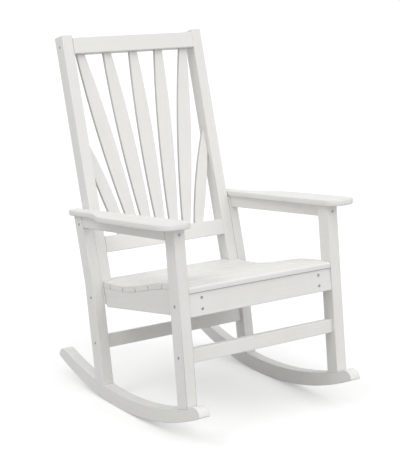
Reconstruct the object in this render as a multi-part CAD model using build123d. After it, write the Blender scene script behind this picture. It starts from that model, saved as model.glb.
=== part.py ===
from build123d import *
import math
import os

os.makedirs("parts", exist_ok=True)

# Outdoor rocking chair with a fan back, in millimetres.
# X is the width, -Y the front and +Z up. Side outlines are lists of (Y, Z) points.
# A leaning board is placed by its front face: up along it, and across behind it.

# Board stock
HEAVY = 38.0
LEG_DEPTH = 50.0
MEDIUM = 25.0
SEAT_STOCK = 18.0
ARM_STOCK = 19.0
BACK_STOCK = 13.0
EASE = 2.5
FIT = 0.3

# Half widths, from the middle of the chair outwards
LEG_INNER = 264.0
LEG_OUTER = LEG_INNER + HEAVY
LEG_MIDDLE = LEG_INNER + HEAVY / 2
POST_REBATE = 4.0
POST_OUTER = LEG_INNER + POST_REBATE
POST_INNER = POST_OUTER - HEAVY
SUPPORT_INNER = POST_INNER - MEDIUM
SUPPORT_MIDDLE = POST_INNER - MEDIUM / 2

# Rockers
CONTACT_Y = 101.5
ROCKER_RADIUS = 1025.0
ROCKER_TAPER = 75.0
ROCKER_DEPTH = 48.0
ROCKER_FRONT = 457.4
ROCKER_REAR = 374.6
TIP_ROUND_SHARE = 0.76
HEEL_ROUND = 5.0
HOUSING = 3.0
ROCKER_EDGE = 2.0

# Legs and posts
FRONT_LEG_Y = -304.7
FRONT_LEG_LEAN = 7.25
BACK_Y = 266.0
BACK_Z = 454.0
BACK_LEAN = 16.6
REAR_LEG_LEAN = 10.5
REAR_LEG_BEND = -88.0
BEND_ROUND = 250.0
POST_FOOT = -160.0

# Back rails and slats
RAIL_HEIGHT = 52.5
LOWER_RAIL_FOOT = 3.0
TOP_RAIL_FOOT = 646.5
POST_ABOVE_RAIL = 8.0
FAN_SIDE = 3
FAN_FOOT_SHARE = 0.2165
FAN_TOP_SHARE = 0.431
SLAT_END = 30.0
SLAT_BULGE = 11.0
SHORT_SLAT_END = 34.5
SHORT_SLAT_INNER_BULGE = 9.5
SHORT_SLAT_OUTER_BULGE = 3.0
SHORT_SLAT_LOW = 285.0
SHORT_SLAT_HIGH = 377.0
SLAT_EDGE = 1.5
SLAT_RECESS = 19.5
TENON_LENGTH = 8.0
TENON_SHOULDER = 3.0

# Arms
ARM_HEIGHT = 633.0
ARM_SLOPE = 6.15
ARM_LENGTH = 648.0
ARM_OVERHANG = 41.0
ARM_INSIDE = 14.0
ARM_POST_GAP = 4.0
ARM_OUTSIDE_FRONT = 56.0
ARM_OUTSIDE_REAR = 12.0
ARM_WAIST_FRONT = 293.0
ARM_WAIST_REAR = 485.0
ARM_OUTER_ROUND = 48.0
ARM_INNER_ROUND = 40.0
ARM_REAR_ROUND = 25.0
ARM_POST_ROUND = 8.0
ARM_EDGE = 3.0
ARM_RAIL_HEIGHT = 37.0

# Seat
SEAT_Y = -252.7
SEAT_Z = 373.0
SEAT_SLOPE = 9.7
SCOOP_MEAN = 66.0
SCOOP_DEPTH = 12.0
SCOOP_LENGTH = 540.0
SCOOP_CREST = 100.0
SEAT_SLATS = 7
SLAT_PITCH = 76.3
SLAT_GAP = 4.0
FIRST_JOINT = 63.7
NOSE = 5.0
NOSE_ROUND = 8.0
SEAT_EDGE_ROUND = 3.0
SEAT_END_GAP = 0.5
NOTCH_GAP = 1.0
SUPPORT_TAIL = 8.0

# Stretchers, placed by their middle up the front face of the leg
STRETCHER_HEIGHT = 42.0
FRONT_STRETCHER_UP = 263.0
REAR_STRETCHER_UP = -191.5

# Screws: their shape, their lengths and how much of each lies in the first board
SCREW_HEAD = 8.0
SCREW_SHANK = 4.5
SCREW_TIP = 6.0
SCREW_POINT = 1.0
SCREW_SIDES = 6
HEAD_DEPTH = 3.0
HEAD_SINK = 0.4
DRIVE_WIDTH = 2.8
DRIVE_DEPTH = 1.8
LEG_SCREW = 75.0
POST_SCREW = 65.0
ARM_RAIL_SCREW = 90.0
APRON_SCREW = 80.0
BACK_RAIL_SCREW = 85.0
SUPPORT_SCREW = 55.0
SEAT_SCREW = 42.0
SEAT_GRIP = 30.0
ARM_SCREW = 45.0
ROCKER_SCREW = 85.0
ROCKER_GRIP = 28.0

# Places of the screws, measured up the board that they hold or as shares of it
POST_SCREW_ABOVE_FOOT = 29.0
POST_SCREW_BELOW_ARM = 27.0
APRON_SCREW_UPS = (20.0, 53.0)
APRON_END_UP = 37.0
SUPPORT_POST_UPS = (18.0, 46.0)
SUPPORT_RAIL_JOINTS = (2, 5)
ARM_SCREW_SHARES = (0.15, 0.5, 0.85)
ROCKER_SCREW_SHARES = (0.3, 0.7)


def up(lean):
    return (math.sin(math.radians(lean)), math.cos(math.radians(lean)))


def rearward(slope):
    return (math.cos(math.radians(slope)), -math.sin(math.radians(slope)))


def go(point, direction, distance):
    return (point[0] + direction[0] * distance, point[1] + direction[1] * distance)


def halfway(p, q):
    return ((p[0] + q[0]) / 2, (p[1] + q[1]) / 2)


def lean_point(base, lean, upward, across=0.0):
    return go(go(base, up(lean), upward), rearward(lean), across)


def meet(p, d, q, e):
    """Where the line through p along d crosses the line through q along e."""
    turn = d[0] * e[1] - d[1] * e[0]
    reach = ((q[0] - p[0]) * e[1] - (q[1] - p[1]) * e[0]) / turn
    return go(p, d, reach)


def meet_circle(p, d, centre, radius):
    """The lower crossing of a rising line with a circle."""
    py = p[0] - centre[0]
    pz = p[1] - centre[1]
    half = py * d[0] + pz * d[1]
    root = math.sqrt(half * half - (py * py + pz * pz - radius * radius))
    return go(p, d, -half - root)


# Reference points and lines shared by the boards
ROCKER_TOP_RADIUS = ROCKER_RADIUS + ROCKER_TAPER
FRONT_LEG = (FRONT_LEG_Y, 0.0)
BACK = (BACK_Y, BACK_Z)
BACK_LINE = (BACK, up(BACK_LEAN))
BEND = lean_point(BACK, BACK_LEAN, REAR_LEG_BEND)
SEAT = (SEAT_Y, SEAT_Z)
ARM_FRONT = meet(FRONT_LEG, up(FRONT_LEG_LEAN), (0.0, ARM_HEIGHT), (1.0, 0.0))
ARM_LINE = (ARM_FRONT, rearward(ARM_SLOPE))
ROCKER_CENTRE = (CONTACT_Y, ROCKER_RADIUS)
ROCKER_TOP_CENTRE = (CONTACT_Y, ROCKER_DEPTH + ROCKER_TOP_RADIUS)
POST_TOP = TOP_RAIL_FOOT + RAIL_HEIGHT + POST_ABOVE_RAIL
SLAT_FOOT = LOWER_RAIL_FOOT + RAIL_HEIGHT
SEAT_JOINTS = [-NOSE] + [FIRST_JOINT + SLAT_PITCH * i for i in range(SEAT_SLATS)]


def side_face(outline, rounds=()):
    """A flat side outline; rounds pairs a corner's number with its radius."""
    face = make_face(Polyline(*outline, close=True))
    for corner, radius in rounds:
        face = fillet(face.vertices().sort_by_distance((*outline[corner], 0))[0], radius)
    return face


def widen(face, x_from, x_to):
    return extrude(Plane.YZ.offset(x_from) * face, amount=x_to - x_from)


def lengthwise(edges):
    return [e for e in edges if abs((e @ 1).X - (e @ 0).X) < FIT]


def ease_rising(piece):
    """Round the long edges of a leg or post."""
    edges = lengthwise(piece.edges())
    rising = [e for e in edges if abs((e @ 1).Z - (e @ 0).Z) > abs((e @ 1).Y - (e @ 0).Y)]
    return fillet(rising, EASE)


def ease_below(piece, slope):
    """Round the long lower edges of a rail that falls to the rear."""
    bottom = piece.faces().sort_by(Axis((0, 0, 0), (0, *up(slope))))[0]
    return fillet(lengthwise(bottom.edges()), EASE)


def foot_line(base, lean):
    """Floor of the shallow housing in a rocker for a leg with this front face."""
    axis = go(base, rearward(lean), LEG_DEPTH / 2)
    touch = meet_circle(axis, up(lean), ROCKER_TOP_CENTRE, ROCKER_TOP_RADIUS)
    spoke = [(t - c) / ROCKER_TOP_RADIUS for t, c in zip(touch, ROCKER_TOP_CENTRE)]
    return go(touch, spoke, HOUSING), (-spoke[1], spoke[0])


def foot_point(base, lean, across):
    """Point on the housing floor, across mm behind the front face of the leg."""
    return meet(go(base, rearward(lean), across), up(lean), *foot_line(base, lean))


def housing(base, lean):
    front = foot_point(base, lean, -FIT)
    rear = foot_point(base, lean, LEG_DEPTH + FIT)
    above = [go(rear, up(lean), ROCKER_DEPTH), go(front, up(lean), ROCKER_DEPTH)]
    return widen(side_face([front, rear] + above), LEG_INNER - FIT, LEG_OUTER + FIT)


def rocker():
    def low(reach):
        return (CONTACT_Y + reach, ROCKER_RADIUS - math.sqrt(ROCKER_RADIUS**2 - reach**2))

    def high(point):
        spoke = [(c - p) / ROCKER_RADIUS for p, c in zip(point, ROCKER_CENTRE)]
        return meet_circle(point, spoke, ROCKER_TOP_CENTRE, ROCKER_TOP_RADIUS)

    front = low(-ROCKER_FRONT)
    rear = low(ROCKER_REAR)
    edges = [
        ThreePointArc(front, (CONTACT_Y, 0), rear),
        Line(rear, high(rear)),
        ThreePointArc(high(rear), (CONTACT_Y, ROCKER_DEPTH), high(front)),
        Line(high(front), front),
    ]
    face = make_face(edges)
    for tip in (front, rear):
        tip_round = TIP_ROUND_SHARE * math.dist(tip, high(tip))
        face = fillet(face.vertices().sort_by_distance((*high(tip), 0))[0], tip_round)
        face = fillet(face.vertices().sort_by_distance((*tip, 0))[0], HEEL_ROUND)
    piece = widen(face, LEG_INNER, LEG_OUTER)
    sides = piece.faces().sort_by(Axis.X)
    piece = chamfer(sides[0].edges() + sides[-1].edges(), ROCKER_EDGE)
    piece -= housing(FRONT_LEG, FRONT_LEG_LEAN)
    return piece - housing(BEND, REAR_LEG_LEAN)


def front_leg():
    front = foot_point(FRONT_LEG, FRONT_LEG_LEAN, 0)
    rear = foot_point(FRONT_LEG, FRONT_LEG_LEAN, LEG_DEPTH)
    top_rear = meet(rear, up(FRONT_LEG_LEAN), *ARM_LINE)
    return ease_rising(widen(side_face([front, rear, top_rear, ARM_FRONT]), LEG_INNER, LEG_OUTER))


def rear_leg():
    """Cranked at the seat: its upper half follows the lean of the back post."""
    front = foot_point(BEND, REAR_LEG_LEAN, 0)
    rear = foot_point(BEND, REAR_LEG_LEAN, LEG_DEPTH)
    behind = go(BACK, rearward(BACK_LEAN), LEG_DEPTH)
    bend_rear = meet(rear, up(REAR_LEG_LEAN), behind, up(BACK_LEAN))
    top_front = meet(*BACK_LINE, *ARM_LINE)
    top_rear = meet(behind, up(BACK_LEAN), *ARM_LINE)
    outline = [front, BEND, top_front, top_rear, bend_rear, rear]
    face = side_face(outline, [(1, BEND_ROUND), (4, BEND_ROUND)])
    piece = ease_rising(widen(face, LEG_INNER, LEG_OUTER))
    seat_of_post = back_outline(POST_FOOT - FIT, POST_TOP, 2 * LEG_DEPTH, -LEG_DEPTH)
    return piece - widen(side_face(seat_of_post), POST_INNER, POST_OUTER)


def back_outline(foot, top, depth, front=0.0):
    corners = [(foot, front), (foot, depth), (top, depth), (top, front)]
    return [lean_point(BACK, BACK_LEAN, upward, across) for upward, across in corners]


def back_post():
    face = side_face(back_outline(POST_FOOT, POST_TOP, LEG_DEPTH))
    return ease_rising(widen(face, POST_INNER, POST_OUTER))


def back_rail(foot):
    rounds = [(corner, EASE) for corner in range(4)]
    face = side_face(back_outline(foot, foot + RAIL_HEIGHT, HEAVY), rounds)
    return widen(face, -POST_INNER, POST_INNER)


# The back slats are drawn on their front plane: X across the chair, Y up the back
SLAT_ORIGIN = lean_point(BACK, BACK_LEAN, 0, SLAT_RECESS)
SLAT_PLANE = Plane(
    origin=(0, *SLAT_ORIGIN),
    x_dir=(1, 0, 0),
    z_dir=(0, -up(BACK_LEAN)[1], up(BACK_LEAN)[0]),
)


def slat_block(corner, opposite, grow=0.0):
    """A tenon in the middle of a slat's thickness, or its mortise when grown."""
    middle = halfway(corner, opposite)
    width = opposite[0] - corner[0] + 2 * grow
    height = opposite[1] - corner[1] + 2 * grow
    depth = BACK_STOCK - 2 * TENON_SHOULDER + 2 * grow
    return SLAT_PLANE * Pos(*middle, -BACK_STOCK / 2) * Box(width, height, depth)


def bowed(start, end, bulge):
    """An arc that bulges to the right of its chord, looking from start to end."""
    length = math.dist(start, end)
    side = ((end[1] - start[1]) / length, (start[0] - end[0]) / length)
    return ThreePointArc(start, go(halfway(start, end), side, bulge), end)


def leaf(foot_left, foot_right, top_left, top_right, left_bulge, right_bulge):
    """A slat whose two long edges are arcs, so that it is widest half-way up."""
    edges = [
        Line(foot_left, foot_right),
        bowed(foot_right, top_right, right_bulge),
        Line(top_right, top_left),
        bowed(top_left, foot_left, left_bulge),
    ]
    piece = extrude(SLAT_PLANE * make_face(edges), amount=-BACK_STOCK)
    return chamfer(piece.edges().filter_by(GeomType.CIRCLE), SLAT_EDGE)


def foot_tenon(i, end, grow=0.0):
    x = FAN_FOOT_SHARE * POST_INNER * i
    half = end / 2 - TENON_SHOULDER
    return slat_block((x - half, SLAT_FOOT - TENON_LENGTH), (x + half, SLAT_FOOT), grow)


def top_tenon(i, grow=0.0):
    x = FAN_TOP_SHARE * POST_INNER * i
    half = SLAT_END / 2 - TENON_SHOULDER
    return slat_block((x - half, TOP_RAIL_FOOT), (x + half, TOP_RAIL_FOOT + TENON_LENGTH), grow)


def post_tenon(grow=0.0):
    low = SHORT_SLAT_LOW + TENON_LENGTH
    high = SHORT_SLAT_HIGH - TENON_LENGTH
    return slat_block((POST_INNER, low), (POST_INNER + TENON_LENGTH, high), grow)


def long_slat(i):
    """A slat between the two rails; i counts outwards from the middle."""
    half = SLAT_END / 2
    foot = FAN_FOOT_SHARE * POST_INNER * i
    top = FAN_TOP_SHARE * POST_INNER * i
    feet = [(foot - half, SLAT_FOOT), (foot + half, SLAT_FOOT)]
    tops = [(top - half, TOP_RAIL_FOOT), (top + half, TOP_RAIL_FOOT)]
    piece = leaf(*feet, *tops, SLAT_BULGE, SLAT_BULGE)
    return piece + foot_tenon(i, SLAT_END) + top_tenon(i)


def short_slat(i):
    """The outermost slat, which runs out against the inner face of the post."""
    half = SHORT_SLAT_END / 2
    foot = FAN_FOOT_SHARE * POST_INNER * i
    feet = [(foot - half, SLAT_FOOT), (foot + half, SLAT_FOOT)]
    tops = [(POST_INNER, SHORT_SLAT_HIGH), (POST_INNER, SHORT_SLAT_LOW)]
    piece = leaf(*feet, *tops, SHORT_SLAT_INNER_BULGE, SHORT_SLAT_OUTER_BULGE)
    return piece + foot_tenon(i, SHORT_SLAT_END) + post_tenon()


# The arms are drawn on their underside: X across the chair, Y to the rear
ARM_PLANE = Plane(origin=(0, *ARM_FRONT), x_dir=(1, 0, 0), z_dir=(0, *up(ARM_SLOPE)))


def arm():
    front = -ARM_OVERHANG
    rear = ARM_LENGTH - ARM_OVERHANG
    inner_front = (LEG_INNER - ARM_INSIDE, front)
    inner_rear = (POST_OUTER + ARM_POST_GAP, rear)
    outer_rear = (LEG_OUTER + ARM_OUTSIDE_REAR, rear)
    outer_front = (LEG_OUTER + ARM_OUTSIDE_FRONT, front)
    waist_rear = (outer_rear[0], ARM_WAIST_REAR)
    waist_front = (outer_front[0], ARM_WAIST_FRONT)
    waist = halfway(waist_rear, waist_front)
    edges = [
        Line(inner_front, inner_rear),
        Line(inner_rear, outer_rear),
        Line(outer_rear, waist_rear),
        TangentArc(waist_rear, waist, tangent=(0, -1)),
        TangentArc(waist_front, waist, tangent=(0, 1)),
        Line(waist_front, outer_front),
        Line(outer_front, inner_front),
    ]
    face = make_face(edges)
    rounds = [
        (outer_front, ARM_OUTER_ROUND),
        (inner_front, ARM_INNER_ROUND),
        (outer_rear, ARM_REAR_ROUND),
        (inner_rear, ARM_POST_ROUND),
    ]
    for corner, radius in rounds:
        face = fillet(face.vertices().sort_by_distance((*corner, 0))[0], radius)
    piece = extrude(ARM_PLANE * face, amount=ARM_STOCK)
    flats = piece.faces().filter_by(Axis((0, 0, 0), (0, *up(ARM_SLOPE))))
    return chamfer(flats.edges(), ARM_EDGE)


def arm_rail():
    low_line = (go(ARM_FRONT, up(ARM_SLOPE), -ARM_RAIL_HEIGHT), rearward(ARM_SLOPE))
    leg_line = (go(FRONT_LEG, rearward(FRONT_LEG_LEAN), LEG_DEPTH), up(FRONT_LEG_LEAN))
    outline = [
        meet(*leg_line, *low_line),
        meet(*BACK_LINE, *low_line),
        meet(*BACK_LINE, *ARM_LINE),
        meet(*leg_line, *ARM_LINE),
    ]
    return ease_below(widen(side_face(outline), LEG_OUTER - MEDIUM, LEG_OUTER), ARM_SLOPE)


def seat_point(back, height):
    """Point on the seat frame: back along its lower edge and square above it."""
    return go(go(SEAT, rearward(SEAT_SLOPE), back), up(SEAT_SLOPE), height)


def joint_point(i):
    """Where two seat slats meet on the scooped upper edge of the seat frame."""
    back = SEAT_JOINTS[i]
    wave = math.cos(2 * math.pi * (back - SCOOP_CREST) / SCOOP_LENGTH)
    return seat_point(back, SCOOP_MEAN + SCOOP_DEPTH * wave)


def slat_line(i):
    """Start and direction of the flat on which seat slat i lies."""
    start = joint_point(i)
    end = joint_point(i + 1)
    length = math.dist(start, end)
    return start, ((end[0] - start[0]) / length, (end[1] - start[1]) / length)


def slat_normal(i):
    direction = slat_line(i)[1]
    return (-direction[1], direction[0])


APRON_LINE = (seat_point(HEAVY, 0), up(SEAT_SLOPE))
APRON_TOP_FRONT = meet(*slat_line(0), SEAT, up(SEAT_SLOPE))
APRON_TOP_REAR = meet(*slat_line(0), *APRON_LINE)


def seat_board(cut_line, x_from, x_to):
    """A board under the seat slats, from the apron to a rear cut line."""
    low_front = seat_point(HEAVY, 0)
    low_rear = meet(low_front, rearward(SEAT_SLOPE), *cut_line)
    top_rear = meet(*slat_line(SEAT_SLATS - 1), *cut_line)
    joints = [joint_point(i) for i in range(SEAT_SLATS - 1, 0, -1)]
    face = side_face([low_front, low_rear, top_rear] + joints + [APRON_TOP_REAR])
    return ease_below(widen(face, x_from, x_to), SEAT_SLOPE)


def seat_side_rail():
    return seat_board(BACK_LINE, POST_INNER, LEG_INNER)


def seat_support():
    tail = seat_point(SEAT_JOINTS[-1] + SUPPORT_TAIL, 0)
    return seat_board((tail, up(SEAT_SLOPE)), SUPPORT_INNER, POST_INNER)


def front_apron():
    outline = [SEAT, seat_point(HEAVY, 0), APRON_TOP_REAR, APRON_TOP_FRONT]
    return widen(side_face(outline, [(0, EASE), (1, EASE)]), -LEG_INNER, LEG_INNER)


def seat_slat(i):
    start, direction = slat_line(i)
    normal = slat_normal(i)
    front = start if i == 0 else go(start, direction, SLAT_GAP / 2)
    rear = go(joint_point(i + 1), direction, -SLAT_GAP / 2)
    outline = [front, rear, go(rear, normal, SEAT_STOCK), go(front, normal, SEAT_STOCK)]
    nose = NOSE_ROUND if i == 0 else SEAT_EDGE_ROUND
    face = side_face(outline, [(2, SEAT_EDGE_ROUND), (3, nose)])
    half = LEG_INNER - SEAT_END_GAP
    return widen(face, -half, half)


def post_notch():
    """What the rear seat slat leaves clear for a post."""
    outline = back_outline(POST_FOOT, POST_TOP, LEG_DEPTH, -NOTCH_GAP)
    return widen(side_face(outline), POST_INNER - NOTCH_GAP, LEG_OUTER)


def stretcher(base, lean, upward):
    across = (LEG_DEPTH - MEDIUM) / 2
    half = STRETCHER_HEIGHT / 2
    corners = [(-half, 0), (-half, MEDIUM), (half, MEDIUM), (half, 0)]
    outline = [lean_point(base, lean, upward + u, across + a) for u, a in corners]
    rounds = [(corner, EASE) for corner in range(4)]
    return widen(side_face(outline, rounds), -LEG_INNER, LEG_INNER)


def screw_shape(length, grow=0.0, well=0.0):
    """A countersunk screw pointing down from its head, or its hole when grown."""
    head = SCREW_HEAD / 2 + grow
    shank = SCREW_SHANK / 2 + grow
    sizes = [
        (head, 0),
        (shank, -HEAD_DEPTH),
        (shank, SCREW_TIP - length),
        (SCREW_POINT / 2 + grow, -length - grow),
    ]
    if well:
        sizes.insert(0, (head, well))
    rings = [Pos(0, 0, z) * RegularPolygon(r, SCREW_SIDES, major_radius=False) for r, z in sizes]
    return loft(rings, ruled=True)


chair = {}
screws = {}


def add_pair(name, piece):
    chair[name + "_right"] = piece
    chair[name + "_left"] = mirror(piece, Plane.YZ)


def drive(group, nodes, point, direction, length, well=1.0):
    """Put the same screw in on both sides; well is the depth bored for its head."""
    socket = Pos(0, 0, -DRIVE_DEPTH / 2) * Box(DRIVE_WIDTH, DRIVE_WIDTH, DRIVE_DEPTH)
    for side, sign in (("right", 1), ("left", -1)):
        inward = Vector(direction[0] * sign, direction[1], direction[2])
        head = Vector(point[0] * sign, point[1], point[2]) + inward * HEAD_SINK
        place = Plane(origin=head, z_dir=-inward)
        for node in nodes:
            chair[node.format(side)] -= place * screw_shape(length, FIT, well)
        screws.setdefault(group, []).append(place * (screw_shape(length) - socket))


# Side frames
add_pair("rocker", rocker())
add_pair("front_leg", front_leg())
add_pair("rear_leg", rear_leg())
add_pair("arm", arm())
add_pair("arm_rail", arm_rail())

# Seat
chair["front_apron"] = front_apron()
add_pair("seat_side_rail", seat_side_rail())
add_pair("seat_support", seat_support())
for i in range(SEAT_SLATS):
    chair[f"seat_slat_{i + 1}"] = seat_slat(i)
rear_slat = f"seat_slat_{SEAT_SLATS}"
chair[rear_slat] -= post_notch()
chair[rear_slat] -= mirror(post_notch(), Plane.YZ)

# Back: slats between the rails, and a short one beside each post
add_pair("back_post", back_post() - post_tenon(FIT))
lower_rail = back_rail(LOWER_RAIL_FOOT)
for i in range(-FAN_SIDE, FAN_SIDE + 1):
    lower_rail -= foot_tenon(i, SHORT_SLAT_END if abs(i) == FAN_SIDE else SLAT_END, FIT)
chair["lower_back_rail"] = lower_rail
top_rail = back_rail(TOP_RAIL_FOOT)
for i in range(1 - FAN_SIDE, FAN_SIDE):
    top_rail -= top_tenon(i, FIT)
    chair[f"back_slat_{i + FAN_SIDE + 1}"] = long_slat(i)
chair["top_back_rail"] = top_rail
chair[f"back_slat_{2 * FAN_SIDE + 1}"] = short_slat(FAN_SIDE)
chair["back_slat_1"] = mirror(short_slat(FAN_SIDE), Plane.YZ)

# Stretchers
chair["front_stretcher"] = stretcher(FRONT_LEG, FRONT_LEG_LEAN, FRONT_STRETCHER_UP)
chair["rear_stretcher"] = stretcher(BEND, REAR_LEG_LEAN, REAR_STRETCHER_UP)

# Screws through the legs, in from their outer faces
INWARD = (-1, 0, 0)
OUTWARD = (1, 0, 0)
HALF_DEEP = LEG_DEPTH / 2
spot = lean_point(FRONT_LEG, FRONT_LEG_LEAN, FRONT_STRETCHER_UP, HALF_DEEP)
drive("leg_screws", ["front_leg_{}", "front_stretcher"], (LEG_OUTER, *spot), INWARD, LEG_SCREW)
spot = lean_point(BEND, REAR_LEG_LEAN, REAR_STRETCHER_UP, HALF_DEEP)
drive("leg_screws", ["rear_leg_{}", "rear_stretcher"], (LEG_OUTER, *spot), INWARD, LEG_SCREW)
spot = seat_point(HEAVY / 2, APRON_END_UP)
drive("leg_screws", ["front_leg_{}", "front_apron"], (LEG_OUTER, *spot), INWARD, LEG_SCREW)
post_middle = (lean_point(BACK, BACK_LEAN, 0, HALF_DEEP), up(BACK_LEAN))
below_arm = (go(ARM_FRONT, up(ARM_SLOPE), -POST_SCREW_BELOW_ARM), rearward(ARM_SLOPE))
low_spot = lean_point(BACK, BACK_LEAN, POST_FOOT + POST_SCREW_ABOVE_FOOT, HALF_DEEP)
for spot in (low_spot, meet(*post_middle, *below_arm)):
    drive("post_screws", ["rear_leg_{}", "back_post_{}"], (LEG_OUTER, *spot), INWARD, POST_SCREW)

# Screws through the legs into the ends of the arm rails
rail_start = go(ARM_FRONT, up(ARM_SLOPE), -ARM_RAIL_HEIGHT / 2)
slope = rearward(ARM_SLOPE)
spot = meet(FRONT_LEG, up(FRONT_LEG_LEAN), rail_start, slope)
nodes = ["front_leg_{}", "arm_rail_{}"]
drive("arm_rail_screws", nodes, (LEG_MIDDLE, *spot), (0, *slope), ARM_RAIL_SCREW)
spot = meet(go(BACK, rearward(BACK_LEAN), LEG_DEPTH), up(BACK_LEAN), rail_start, slope)
nodes = ["rear_leg_{}", "arm_rail_{}"]
drive("arm_rail_screws", nodes, (LEG_MIDDLE, *spot), (0, -slope[0], -slope[1]), ARM_RAIL_SCREW)

# Screws of the seat frame and the back
for height in APRON_SCREW_UPS:
    spot = (SUPPORT_MIDDLE, *seat_point(0, height))
    nodes = ["front_apron", "seat_support_{}"]
    drive("apron_screws", nodes, spot, (0, *rearward(SEAT_SLOPE)), APRON_SCREW)
for i in SUPPORT_RAIL_JOINTS:
    spot = (SUPPORT_INNER, *seat_point(SEAT_JOINTS[i], SCOOP_MEAN / 2))
    nodes = ["seat_support_{}", "seat_side_rail_{}"]
    drive("support_screws", nodes, spot, OUTWARD, SUPPORT_SCREW)
for height in SUPPORT_POST_UPS:
    post_face = meet(seat_point(0, height), rearward(SEAT_SLOPE), *BACK_LINE)
    spot = (SUPPORT_INNER, *go(post_face, rearward(SEAT_SLOPE), LEG_DEPTH / 3))
    nodes = ["seat_support_{}", "back_post_{}"]
    drive("support_screws", nodes, spot, OUTWARD, SUPPORT_SCREW)
for foot, rail in ((LOWER_RAIL_FOOT, "lower_back_rail"), (TOP_RAIL_FOOT, "top_back_rail")):
    spot = (POST_OUTER, *lean_point(BACK, BACK_LEAN, foot + RAIL_HEIGHT / 2, HALF_DEEP))
    drive("back_rail_screws", ["back_post_{}", rail], spot, INWARD, BACK_RAIL_SCREW)

# Screws up into the seat slats, the arms and the legs, with their heads in bored wells
spot = go(halfway(APRON_TOP_FRONT, APRON_TOP_REAR), slat_normal(0), -SEAT_GRIP)
nodes = ["front_apron", "seat_slat_1"]
drive("seat_screws", nodes, (LEG_INNER / 2, *spot), (0, *slat_normal(0)), SEAT_SCREW, SCOOP_MEAN)
for i in range(1, SEAT_SLATS):
    spot = go(halfway(joint_point(i), joint_point(i + 1)), slat_normal(i), -SEAT_GRIP)
    nodes = ["seat_support_{}", f"seat_slat_{i + 1}"]
    drive("seat_screws", nodes, (SUPPORT_MIDDLE, *spot), (0, *slat_normal(i)), SEAT_SCREW, SCOOP_MEAN)
for share in ARM_SCREW_SHARES:
    back = LEG_DEPTH + (ARM_WAIST_REAR - LEG_DEPTH) * share
    spot = ARM_PLANE.from_local_coords((LEG_OUTER - MEDIUM / 2, back, -ARM_RAIL_HEIGHT))
    drive("arm_screws", ["arm_rail_{}", "arm_{}"], tuple(spot), (0, *up(ARM_SLOPE)), ARM_SCREW)
feet = ((FRONT_LEG, FRONT_LEG_LEAN, "front_leg_{}"), (BEND, REAR_LEG_LEAN, "rear_leg_{}"))
for base, lean, leg in feet:
    for share in ROCKER_SCREW_SHARES:
        spot = go(foot_point(base, lean, share * LEG_DEPTH), up(lean), -ROCKER_GRIP)
        nodes = ["rocker_{}", leg]
        drive("rocker_screws", nodes, (LEG_MIDDLE, *spot), (0, *up(lean)), ROCKER_SCREW, ROCKER_DEPTH)
for group, pieces in screws.items():
    chair[group] = Compound(pieces)

# The origin lies on the floor under the middle of the chair
box = Compound(list(chair.values())).bounding_box()
shift = Pos(0, -box.center().Y, 0)
volume = sum(piece.volume for piece in chair.values())
balance = sum(piece.volume * piece.center(CenterOf.MASS).Y for piece in chair.values()) / volume
print(f"size {box.size}, middle at {box.center().Y:.2f}")
print(f"balance point {balance - CONTACT_Y:.2f} behind the contact")
for node, piece in chair.items():
    export_step(shift * piece, f"parts/{node}.step")
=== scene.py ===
# %% [markdown]
# Outdoor rocking chair, dressed for the studio.
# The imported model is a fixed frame: every board and screw already has its place and its size in metres.
# This file gives the boards their white grained finish, makes the screws with Geometry Nodes, and sets up
# the floor, the light and the camera.

# %% Load the frame
import math

import bmesh
import bpy
import numpy as np
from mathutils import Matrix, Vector


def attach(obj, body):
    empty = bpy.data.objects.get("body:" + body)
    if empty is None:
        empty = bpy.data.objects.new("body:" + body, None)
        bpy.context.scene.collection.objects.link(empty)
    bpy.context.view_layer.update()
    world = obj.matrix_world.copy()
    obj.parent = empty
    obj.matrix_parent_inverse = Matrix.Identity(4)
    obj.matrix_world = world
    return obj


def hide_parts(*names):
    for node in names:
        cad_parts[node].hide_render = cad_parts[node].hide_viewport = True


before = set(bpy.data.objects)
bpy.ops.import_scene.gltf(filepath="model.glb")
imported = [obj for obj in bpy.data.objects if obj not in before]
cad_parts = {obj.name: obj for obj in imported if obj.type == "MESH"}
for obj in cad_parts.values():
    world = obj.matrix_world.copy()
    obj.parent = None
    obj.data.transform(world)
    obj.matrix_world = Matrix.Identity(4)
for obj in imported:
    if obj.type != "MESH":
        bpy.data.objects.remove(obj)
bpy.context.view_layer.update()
screw_nodes = sorted(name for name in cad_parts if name.endswith("_screws"))
board_nodes = sorted(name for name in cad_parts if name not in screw_nodes)
print("boards", len(board_nodes), "screw groups", len(screw_nodes))

# %% [markdown]
# Materials and the screw maker are node trees, and all of them are written as code.
# One helper makes a node, sets its plain properties and fills its sockets: a socket gets a link where the
# value is another node's output, and otherwise keeps the value itself.
# A second helper gives a node group its named sockets, and two short ones make the nodes used most.

# %% Helpers for node trees
FLOAT = "NodeSocketFloat"


def add_node(tree, kind, sockets=None, **properties):
    node = tree.nodes.new(kind)
    for name, value in properties.items():
        setattr(node, name, value)
    for name, value in (sockets or {}).items():
        if isinstance(value, bpy.types.NodeSocket):
            tree.links.new(value, node.inputs[name])
        else:
            node.inputs[name].default_value = value
    return node


def start_group(name, kind, inputs, outputs):
    """A node group with its named sockets; inputs maps a name to a socket type and a value."""
    group = bpy.data.node_groups.new(name, kind)
    for socket, (socket_type, value) in inputs.items():
        made = group.interface.new_socket(socket, in_out="INPUT", socket_type=socket_type)
        if value is not None:
            made.default_value = value
    for socket, socket_type in outputs.items():
        group.interface.new_socket(socket, in_out="OUTPUT", socket_type=socket_type)
    return group, add_node(group, "NodeGroupInput").outputs, add_node(group, "NodeGroupOutput")


def math_node(tree, operation, first, second):
    return add_node(tree, "ShaderNodeMath", {0: first, 1: second}, operation=operation).outputs[0]


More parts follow.
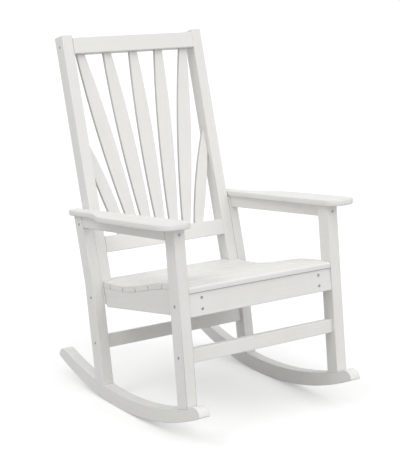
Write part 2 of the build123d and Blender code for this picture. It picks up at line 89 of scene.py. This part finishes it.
def spread(tree, value, low, high, start=0.3, end=0.7):
    """A value that runs from start to end, spread evenly from low to high."""
    sockets = {"Value": value, "From Min": start, "From Max": end, "To Min": low, "To Max": high}
    return add_node(tree, "ShaderNodeMapRange", sockets).outputs["Result"]


# %% [markdown]
# The boards are sawn from solid white lumber with a faint grain that runs along each board.
# Boards lean, slope and fan out here, so a pattern on plain object coordinates would cross them at an
# angle. Instead every corner of a board knows its place along, across and through that board, kept as an
# attribute called grain. The axes come from the spread of the board's own faces: the longest is the grain.
# A shift between the boards keeps two neighbours from showing the same streaks.
# Two more attributes tell the finish which faces are eased edges, and which are the sides of a back slat,
# which get a painted shade.

# %% Axes of a board
BOARD_SHIFT = 0.731
# A face is eased where its slope to the board's flat, as a cosine, lies between these; below, it is a side.
EASED_FROM = 0.15
EASED_TO = 0.98


def board_axes(mesh):
    """The middle of a board and its axes, longest first, from the area of its faces."""
    centres = np.array([face.center for face in mesh.polygons])
    areas = np.array([face.area for face in mesh.polygons])
    middle = (centres * areas[:, None]).sum(0) / areas.sum()
    offsets = (centres - middle) * np.sqrt(areas)[:, None]
    axes = np.linalg.eigh(offsets.T @ offsets)[1]
    return middle, axes[:, ::-1]


def mark_grain(mesh, number, gets_painted_side_shade):
    """Keep each corner's place in its board, and which faces are eased edges or back slat sides with painted
    shade.
    """
    middle, axes = board_axes(mesh)
    points = np.array([vertex.co for vertex in mesh.vertices])
    places = (points - middle) @ axes
    places[:, 0] += BOARD_SHIFT * number
    mesh.attributes.new("grain", "FLOAT_VECTOR", "POINT").data.foreach_set("vector", places.ravel())
    facing = np.abs(np.array([face.normal for face in mesh.polygons]) @ axes[:, 2])
    eased = (facing > EASED_FROM) & (facing < EASED_TO)
    # The sides of the back slats are marked for painted shade.
    painted_side_shade = (facing <= EASED_FROM) & gets_painted_side_shade
    for name, chosen in (("eased", eased), ("painted_side_shade", painted_side_shade)):
        mesh.attributes.new(name, "FLOAT", "FACE").data.foreach_set("value", chosen.astype(np.float32))


# %% [markdown]
# A router has taken the sharpness off every long edge, and such an edge catches a soft line of light.
# The frame holds those edges as narrow bevels. A copy of each board is merged, its flat stretches become
# single faces, and weighted normals keep those flats flat while the bevels shade as rounds.
# More geometry on the edges would do it too, but costs many more faces for the same look.
# Boards that are screwed together still show a hairline where they meet, so each copy is made smaller all
# round by half of that gap. The photograph shows two wider lines at the seat, behind its side rails and
# above its apron, so those three boards are also cut a little short.

# %% Boards
MERGE = 1e-6
FLAT = math.radians(0.05)
SMOOTH_BELOW = math.radians(50)
JOINT_GAP = 0.0006
Y_AXIS = 1
Z_AXIS = 2
# For each board: the axis, how far the change reaches from the far end, and how much is cut off there.
CUT_SHORT = {
    "seat_side_rail_left": (Y_AXIS, 0.04, 0.003),
    "seat_side_rail_right": (Y_AXIS, 0.04, 0.003),
    "front_apron": (Z_AXIS, 0.01, 0.002),
}


def cut_short(corners, axis, reach, amount):
    """Draw the far end of a board in along one axis; what lies beyond the reach stays in place."""
    far = max(corner.co[axis] for corner in corners)
    for corner in corners:
        share = max(0.0, 1 - (far - corner.co[axis]) / reach)
        corner.co[axis] -= amount * share


def merged_mesh(node, name):
    shape = bmesh.new()
    shape.from_mesh(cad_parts[node].data)
    bmesh.ops.remove_doubles(shape, verts=shape.verts, dist=MERGE)
    bmesh.ops.dissolve_limit(shape, angle_limit=FLAT, verts=shape.verts, edges=shape.edges)
    shape.normal_update()
    inward = [-corner.normal * corner.calc_shell_factor() * JOINT_GAP / 2 for corner in shape.verts]
    for corner, step in zip(shape.verts, inward):
        corner.co += step
    if node in CUT_SHORT:
        cut_short(shape.verts, *CUT_SHORT[node])
    mesh = bpy.data.meshes.new(name)
    shape.to_mesh(mesh)
    shape.free()
    return mesh


def put_in_scene(name, data):
    thing = bpy.data.objects.new(name, data)
    bpy.context.scene.collection.objects.link(thing)
    return thing


def stand_for(piece, node):
    """Let a finished piece ride with the chair and take the place of a CAD node."""
    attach(piece, "root")
    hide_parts(node)


def dress_board(number, node, material):
    mesh = merged_mesh(node, node + "_board")
    mark_grain(mesh, number, node.startswith("back_slat_"))
    mesh.materials.clear()
    mesh.materials.append(material)
    mesh.shade_smooth()
    mesh.set_sharp_from_angle(angle=SMOOTH_BELOW)
    board = put_in_scene(node + "_board", mesh)
    board.modifiers.new("soft_edges", "WEIGHTED_NORMAL").keep_sharp = True
    stand_for(board, node)
    return board


# %% [markdown]
# The grain of this lumber is drawn in as it is made: broad soft streaks of tone, and fine drawn lines that
# can be felt more than seen. Both are noise that is stretched along the board; the mottle is not.
# It is a node group with named sizes, so the look can be tuned in metres.

# %% Lengthwise grain
STREAK_LENGTH = 0.35
STREAK_WIDTH = 0.006


def make_grain_group():
    inputs = {"Streak Length": (FLOAT, STREAK_LENGTH), "Streak Width": (FLOAT, STREAK_WIDTH)}
    outputs = {"Streaks": FLOAT, "Lines": FLOAT, "Mottle": FLOAT}
    group, sizes, result = start_group("lengthwise_grain", "ShaderNodeTree", inputs, outputs)
    place = add_node(group, "ShaderNodeAttribute", attribute_name="grain").outputs["Vector"]
    width = sizes["Streak Width"]
    size = add_node(group, "ShaderNodeCombineXYZ", {"X": sizes["Streak Length"], "Y": width, "Z": width})
    stretched = add_node(group, "ShaderNodeVectorMath", {0: place, 1: size.outputs[0]}, operation="DIVIDE")
    patterns = (("Streaks", stretched.outputs[0], 1.0, 3.0),
                ("Lines", stretched.outputs[0], 4.0, 2.0),
                ("Mottle", place, 9.0, 2.0))
    for name, vector, scale, detail in patterns:
        noise = add_node(group, "ShaderNodeTexNoise", {"Vector": vector, "Scale": scale, "Detail": detail})
        group.links.new(noise.outputs["Fac"], result.inputs[name])
    return group


grain_group = make_grain_group()
print("group", grain_group.name, "made")


# %% [markdown]
# A chair that stands outside gathers small dull marks, on its boards and on its screws alike.
# One group makes them for both: noise, cut off so that only its peaks remain.

# %% Weather marks
MARK_SCALE = 60.0
MARK_AMOUNT = 0.12
PEAK_START = 0.56
PEAK_END = 0.72


def make_marks_group():
    inputs = {"Scale": (FLOAT, MARK_SCALE), "Amount": (FLOAT, MARK_AMOUNT)}
    group, values, result = start_group("weather_marks", "ShaderNodeTree", inputs, {"Mask": FLOAT})
    place = add_node(group, "ShaderNodeTexCoord").outputs["Object"]
    noise = add_node(group, "ShaderNodeTexNoise", {"Vector": place, "Scale": values["Scale"], "Detail": 4.0})
    peaks = spread(group, noise.outputs["Fac"], 0.0, 1.0, PEAK_START, PEAK_END)
    group.links.new(math_node(group, "MULTIPLY", peaks, values["Amount"]), result.inputs["Mask"])
    return group


marks_group = make_marks_group()
print("group", marks_group.name, "made")


# %% [markdown]
# The finish is a white that leans a little to the warm side, satin, with the grain in its tone, its gloss
# and its surface. The eased edges are burnished by the cutter, so they are a little smoother.
# The sides of the back slats get a darker colour: a painted shade for the shade that falls between the
# slats.

# %% White lumber
TONE_LOW = (0.765, 0.760, 0.733, 1)
TONE_HIGH = (0.81, 0.805, 0.782, 1)
TONE_EDGE = (0.79, 0.785, 0.765, 1)
TONE_MARK = (0.66, 0.655, 0.63, 1)
# A darker tone painted on the sides of the back slats, as the shade that falls between them.
TONE_SIDE_SHADE = (0.60, 0.595, 0.57, 1)
STREAK_SHARE = 0.55
MOTTLE_SHARE = 0.45
EDGE_SHARE = 0.5
EDGE_POLISH = 0.08
ROUGH_LOW = 0.46
ROUGH_HIGH = 0.58
GRAIN_RELIEF = {"Strength": 0.1, "Distance": 0.0004}


def mix_colour(tree, share, first, second):
    """Sockets 0, 6 and 7 of this node are the share and the two colours; output 2 is the colour."""
    return add_node(tree, "ShaderNodeMix", {0: share, 6: first, 7: second}, data_type="RGBA").outputs[2]


def start_material(name):
    material = bpy.data.materials.new(name)
    material.use_nodes = True
    return material, material.node_tree, material.node_tree.nodes["Principled BSDF"].inputs


def make_white_lumber():
    material, tree, surface = start_material("white_lumber")
    grain = add_node(tree, "ShaderNodeGroup", node_tree=grain_group).outputs
    marks = add_node(tree, "ShaderNodeGroup", node_tree=marks_group).outputs["Mask"]
    edge = add_node(tree, "ShaderNodeAttribute", attribute_name="eased").outputs["Fac"]
    painted_side_shade = add_node(tree, "ShaderNodeAttribute", attribute_name="painted_side_shade").outputs["Fac"]
    streaks = spread(tree, grain["Streaks"], 0.0, STREAK_SHARE)
    mottle = spread(tree, grain["Mottle"], 0.0, MOTTLE_SHARE)
    colour = mix_colour(tree, math_node(tree, "ADD", streaks, mottle), TONE_LOW, TONE_HIGH)
    colour = mix_colour(tree, marks, colour, TONE_MARK)
    colour = mix_colour(tree, math_node(tree, "MULTIPLY", edge, EDGE_SHARE), colour, TONE_EDGE)
    # Painted shade: the sides of the back slats are darkened.
    colour = mix_colour(tree, painted_side_shade, colour, TONE_SIDE_SHADE)
    tree.links.new(colour, surface["Base Color"])
    dull = spread(tree, grain["Lines"], ROUGH_LOW, ROUGH_HIGH)
    polish = math_node(tree, "MULTIPLY", edge, EDGE_POLISH)
    tree.links.new(math_node(tree, "SUBTRACT", dull, polish), surface["Roughness"])
    bump = add_node(tree, "ShaderNodeBump", {**GRAIN_RELIEF, "Height": grain["Lines"]})
    tree.links.new(bump.outputs["Normal"], surface["Normal"])
    return material


white_lumber = make_white_lumber()
boards = [dress_board(number, node, white_lumber) for number, node in enumerate(board_nodes)]
print("boards dressed", len(boards), "faces", sum(len(board.data.polygons) for board in boards))

# %% [markdown]
# The chair is held by 58 countersunk screws, all of one kind in several lengths.
# What repeats like this is work for Geometry Nodes: one tree makes a screw, and sets it on every point.
# The points come from the frame. Each loose shell of a screw node is one screw: its long axis, the end that
# carries the head, and its length are read off that shell.

# %% Where the screws sit
def loose_shells(mesh):
    """The corners of each separate shell of a mesh."""
    shape = bmesh.new()
    shape.from_mesh(mesh)
    bmesh.ops.remove_doubles(shape, verts=shape.verts, dist=MERGE)
    left = set(shape.verts)
    shells = []
    for start in shape.verts:
        if start not in left:
            continue
        left.remove(start)
        to_visit = [start]
        shell = []
        while to_visit:
            corner = to_visit.pop()
            shell.append(corner.co[:])
            near = [edge.other_vert(corner) for edge in corner.link_edges]
            fresh = [other for other in near if other in left]
            left.difference_update(fresh)
            to_visit += fresh
        shells.append(np.array(shell))
    shape.free()
    return shells


def screw_place(shell):
    """The middle of a screw's head, the direction out of it, and the screw's length."""
    middle = shell.mean(0)
    axis = np.linalg.svd(shell - middle)[2][0]
    along = (shell - middle) @ axis
    radial = shell - middle - along[:, None] * axis
    if along[np.linalg.norm(radial, axis=1).argmax()] < 0:
        axis = -axis
        along = -along
    centre = middle + radial[along > along.max() - MERGE].mean(0) + axis * along.max()
    return centre, axis, float(along.max() - along.min())


screw_places = {
    node: [screw_place(shell) for shell in loose_shells(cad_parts[node].data)] for node in screw_nodes
}
print({node: (len(places), round(places[0][2], 4)) for node, places in screw_places.items()})

# %% [markdown]
# The head is a flat disc with a square socket, above the cone that draws it into the board. The socket is a
# guess: the photograph is too coarse to show it.
# The tree stacks a rim, that cone, a shank and a point. The socket is pressed into the rim: its top face is
# copied inwards, the copy is squared by dividing each corner by its larger side, and then it is pushed
# down. Modelling one head by hand would do too, but here its sizes stay open to change.

# %% A screw tree
ROUND_SIDES = 24


def size_of(tree, value):
    return add_node(tree, "ShaderNodeMath", {0: value}, operation="ABSOLUTE").outputs[0]


def square_corners(tree, width):
    """The place of each corner, moved onto a square of this width."""
    place = add_node(tree, "GeometryNodeInputPosition").outputs[0]
    parts = add_node(tree, "ShaderNodeSeparateXYZ", {0: place}).outputs
    larger = math_node(tree, "MAXIMUM", size_of(tree, parts["X"]), size_of(tree, parts["Y"]))
    share = math_node(tree, "DIVIDE", math_node(tree, "MULTIPLY", width, 0.5), larger)
    flat = {name: math_node(tree, "MULTIPLY", parts[name], share) for name in "XY"}
    return add_node(tree, "ShaderNodeCombineXYZ", {**flat, "Z": parts["Z"]}).outputs[0]


def raised(tree, geometry, height):
    lift = add_node(tree, "ShaderNodeCombineXYZ", {"Z": height}).outputs[0]
    return add_node(tree, "GeometryNodeTransform", {"Geometry": geometry, "Translation": lift}).outputs[0]


def screw_head(tree, sizes):
    """The rim of the head, open below, with its square socket."""
    disc = {"Vertices": ROUND_SIDES, "Radius": sizes["Head Radius"], "Depth": sizes["Rim"]}
    rim = add_node(tree, "GeometryNodeMeshCylinder", disc).outputs
    copied = {"Mesh": rim["Mesh"], "Selection": rim["Top"], "Offset Scale": 0.0}
    copied = add_node(tree, "GeometryNodeExtrudeMesh", copied).outputs
    squared = {"Geometry": copied["Mesh"], "Selection": copied["Top"]}
    squared["Position"] = square_corners(tree, sizes["Socket Width"])
    squared = add_node(tree, "GeometryNodeSetPosition", squared).outputs[0]
    down = math_node(tree, "MULTIPLY", sizes["Socket Depth"], -1.0)
    pressed = {"Mesh": squared, "Selection": copied["Top"], "Offset Scale": down}
    pressed = add_node(tree, "GeometryNodeExtrudeMesh", pressed).outputs["Mesh"]
    below = {"Geometry": pressed, "Selection": rim["Bottom"]}
    head = add_node(tree, "GeometryNodeDeleteGeometry", below, domain="FACE").outputs[0]
    return raised(tree, head, math_node(tree, "MULTIPLY", sizes["Rim"], -0.5))


def screw_cone(tree, top_radius, bottom_radius, top, bottom):
    """An open cone between two heights below the head."""
    sockets = {"Vertices": ROUND_SIDES, "Radius Top": top_radius, "Radius Bottom": bottom_radius}
    sockets["Depth"] = math_node(tree, "SUBTRACT", bottom, top)
    cone = add_node(tree, "GeometryNodeMeshCone", sockets, fill_type="NONE").outputs["Mesh"]
    return raised(tree, cone, math_node(tree, "MULTIPLY", bottom, -1.0))


# %% [markdown]
# The finished screw is set on every point along the axis that the point keeps. Each one also gets a turn of
# its own about that axis, from a fixed seed, since nobody lines sockets up.
# The result is kept as a plain mesh in place of the CAD screws.

# %% Set the screws on their points
SCREW_SIZES = {
    "Head Radius": 0.004, "Rim": 0.0004, "Head Depth": 0.003, "Shank Radius": 0.00225, "Point": 0.006,
    "Socket Width": 0.0028, "Socket Depth": 0.0018, "Length": 0.075,
}
SCREW_SEED = 7
SCREW_MERGE = 1e-5
SHARP_STEEL = math.radians(30)


def turned_screws(tree, seed):
    """A rotation for each point: along its axis, with a turn of its own."""
    axis = add_node(tree, "GeometryNodeInputNamedAttribute", {"Name": "axis"}, data_type="FLOAT_VECTOR")
    upright = {"Vector": axis.outputs["Attribute"]}
    upright = add_node(tree, "FunctionNodeAlignRotationToVector", upright, axis="Z").outputs[0]
    turn = add_node(tree, "FunctionNodeRandomValue", {2: 0.0, 3: math.pi / 2, "Seed": seed}).outputs[1]
    turn = add_node(tree, "FunctionNodeAxisAngleToRotation", {"Axis": (0, 0, 1), "Angle": turn}).outputs[0]
    turned = {"Rotation": upright, "Rotate By": turn}
    return add_node(tree, "FunctionNodeRotateRotation", turned, rotation_space="LOCAL").outputs[0]


def make_screw_tree(material):
    inputs = {"Points": ("NodeSocketGeometry", None), "Seed": ("NodeSocketInt", SCREW_SEED)}
    inputs.update({name: (FLOAT, value) for name, value in SCREW_SIZES.items()})
    outputs = {"Screws": "NodeSocketGeometry"}
    tree, sizes, result = start_group("countersunk_screws", "GeometryNodeTree", inputs, outputs)
    point_start = math_node(tree, "SUBTRACT", sizes["Length"], sizes["Point"])
    shank = sizes["Shank Radius"]
    screw = add_node(tree, "GeometryNodeJoinGeometry")
    pieces = (
        screw_head(tree, sizes),
        screw_cone(tree, sizes["Head Radius"], shank, sizes["Rim"], sizes["Head Depth"]),
        screw_cone(tree, shank, shank, sizes["Head Depth"], point_start),
        screw_cone(tree, shank, 0.0, point_start, sizes["Length"]),
    )
    for piece in pieces:
        tree.links.new(piece, screw.inputs[0])
    merged = {"Geometry": screw.outputs[0], "Distance": SCREW_MERGE}
    whole = add_node(tree, "GeometryNodeMergeByDistance", merged).outputs[0]
    placed = {"Points": sizes["Points"], "Instance": whole, "Rotation": turned_screws(tree, sizes["Seed"])}
    placed = add_node(tree, "GeometryNodeInstanceOnPoints", placed).outputs[0]
    real = add_node(tree, "GeometryNodeRealizeInstances", {"Geometry": placed}).outputs[0]
    finished = add_node(tree, "GeometryNodeSetMaterial", {"Geometry": real, "Material": material}).outputs[0]
    tree.links.new(finished, result.inputs["Screws"])
    return tree


def make_screws(node, tree):
    """All the screws of one group, as one plain mesh in place of their CAD node."""
    places = screw_places[node]
    points = bpy.data.meshes.new(node + "_points")
    points.from_pydata([centre for centre, axis, length in places], [], [])
    axes = np.array([axis for centre, axis, length in places], dtype=np.float32)
    points.attributes.new("axis", "FLOAT_VECTOR", "POINT").data.foreach_set("vector", axes.ravel())
    piece = put_in_scene(node + "_steel", points)
    modifier = piece.modifiers.new("screws", "NODES")
    modifier.node_group = tree
    sockets = {item.name: item.identifier for item in tree.interface.items_tree}
    modifier[sockets["Length"]] = places[0][2]
    evaluated = piece.evaluated_get(bpy.context.evaluated_depsgraph_get())
    finished = bpy.data.meshes.new_from_object(evaluated)
    piece.modifiers.clear()
    piece.data = finished
    finished.shade_smooth()
    finished.set_sharp_from_angle(angle=SHARP_STEEL)
    stand_for(piece, node)
    return piece


# %% [markdown]
# The screws are coated steel: dull grey metal, a little mottled, with duller weather marks.

# %% Screw steel
STEEL = (0.52, 0.52, 0.515, 1)
STEEL_WORN = (0.42, 0.415, 0.405, 1)
STEEL_MARKS = {"Scale": 400.0, "Amount": 0.8}
STEEL_SMOOTH = 0.38
STEEL_ROUGH = 0.6
STEEL_METALLIC = 0.85
STEEL_RELIEF = {"Strength": 0.15, "Distance": 0.0002}


def make_screw_steel():
    material, tree, surface = start_material("screw_steel")
    marks = add_node(tree, "ShaderNodeGroup", STEEL_MARKS, node_tree=marks_group).outputs["Mask"]
    tree.links.new(mix_colour(tree, marks, STEEL, STEEL_WORN), surface["Base Color"])
    tree.links.new(spread(tree, marks, STEEL_SMOOTH, STEEL_ROUGH, 0.0, 1.0), surface["Roughness"])
    surface["Metallic"].default_value = STEEL_METALLIC
    bump = add_node(tree, "ShaderNodeBump", {**STEEL_RELIEF, "Height": marks})
    tree.links.new(bump.outputs["Normal"], surface["Normal"])
    return material


screw_tree = make_screw_tree(make_screw_steel())
screws = [make_screws(node, screw_tree) for node in screw_nodes]
print("screw groups made", len(screws), "faces", sum(len(piece.data.polygons) for piece in screws))

# %% [markdown]
# The photograph stands on pure white with only a soft shadow under the rockers.
# The floor is a large pale sheet. What the camera sees of it is part lit and part plain white, so that its
# open stretches are white and the shadow stays light; what it sends back to the chair is a plain pale grey.

# %% Floor
FLOOR_HALF = 60.0
FLOOR_BOUNCE = (0.55, 0.55, 0.55, 1)
FLOOR_SEEN = (0.72, 0.72, 0.72, 1)
FLOOR_WHITE = 0.33
WHITE = (1, 1, 1, 1)


def make_floor():
    corners = [(-1, -1), (1, -1), (1, 1), (-1, 1)]
    mesh = bpy.data.meshes.new("studio_floor")
    mesh.from_pydata([(x * FLOOR_HALF, y * FLOOR_HALF, 0) for x, y in corners], [], [(0, 1, 2, 3)])
    material, tree, surface = start_material("studio_floor")
    seen = add_node(tree, "ShaderNodeLightPath").outputs["Is Camera Ray"]
    tree.links.new(mix_colour(tree, seen, FLOOR_BOUNCE, FLOOR_SEEN), surface["Base Color"])
    tree.links.new(math_node(tree, "MULTIPLY", seen, FLOOR_WHITE), surface["Emission Strength"])
    surface["Emission Color"].default_value = WHITE
    surface["Roughness"].default_value = 1.0
    surface["Specular IOR Level"].default_value = 0.0
    mesh.materials.append(material)
    floor = put_in_scene("studio_floor", mesh)
    return floor


floor = make_floor()
print("floor", floor.dimensions[:])

# %% [markdown]
# The light is a bright even studio with a large soft lamp high in front and a smaller one high on the left.
# The tops of the arms are the lightest in the photograph, then the front, then the outer sides, and what
# faces the middle of the chair is in shade. Lamps from the front and the left give that order.
# The left one is smaller because the shade right under the left arm has a fairly sharp edge.
# The world gives the even part; the camera, mirrors and glass see it as plain white.

# %% Light
AMBIENT = 0.735
# For each lamp: the direction toward it, its strength, and the angle that it fills as seen from the chair.
LAMPS = {
    "front_lamp": ((0, -1, 1.16), 0.98, math.radians(60)),
    "left_lamp": ((-1, 0, 1.4), 0.50, math.radians(25)),
}


def make_world():
    world = bpy.data.worlds.new("studio")
    world.use_nodes = True
    tree = world.node_tree
    tree.nodes.clear()
    path = add_node(tree, "ShaderNodeLightPath").outputs
    seen = math_node(tree, "MAXIMUM", path["Is Camera Ray"], path["Is Glossy Ray"])
    seen = math_node(tree, "MAXIMUM", seen, path["Is Transmission Ray"])
    even = add_node(tree, "ShaderNodeBackground", {"Color": WHITE, "Strength": AMBIENT})
    white = add_node(tree, "ShaderNodeBackground", {"Color": WHITE, "Strength": 1.0})
    mix = add_node(tree, "ShaderNodeMixShader", {0: seen, 1: even.outputs[0], 2: white.outputs[0]})
    add_node(tree, "ShaderNodeOutputWorld", {"Surface": mix.outputs[0]})
    bpy.context.scene.world = world


def add_lamp(name, toward_lamp, strength, angle):
    data = bpy.data.lights.new(name, "SUN")
    data.energy = strength
    data.angle = angle
    lamp = put_in_scene(name, data)
    lamp.rotation_euler = Vector(toward_lamp).to_track_quat("Z", "Y").to_euler()


make_world()
for name, lamp in LAMPS.items():
    add_lamp(name, *lamp)
bpy.context.scene.view_settings.view_transform = "Standard"
print("light: even", AMBIENT, "lamps", LAMPS)

# %% [markdown]
# The camera stands where the photographer's did: in front of the chair, to its left, a little above the top
# of the back, with a long lens. Its place was worked out from the straight edges of the chair.

# %% Camera
CAMERA_PLACE = (-2.24491, -3.25028, 1.43666)
CAMERA_TILT = math.radians(77.206)
CAMERA_TURN = math.radians(-34.632)
CAMERA_LENS = 101.12
SENSOR_WIDTH = 36


def add_camera():
    data = bpy.data.cameras.new("camera")
    data.lens = CAMERA_LENS
    data.sensor_width = SENSOR_WIDTH
    camera = put_in_scene("camera", data)
    camera.location = CAMERA_PLACE
    camera.rotation_euler = (CAMERA_TILT, 0, CAMERA_TURN)
    bpy.context.scene.camera = camera
    return camera


print("camera", add_camera().location[:])
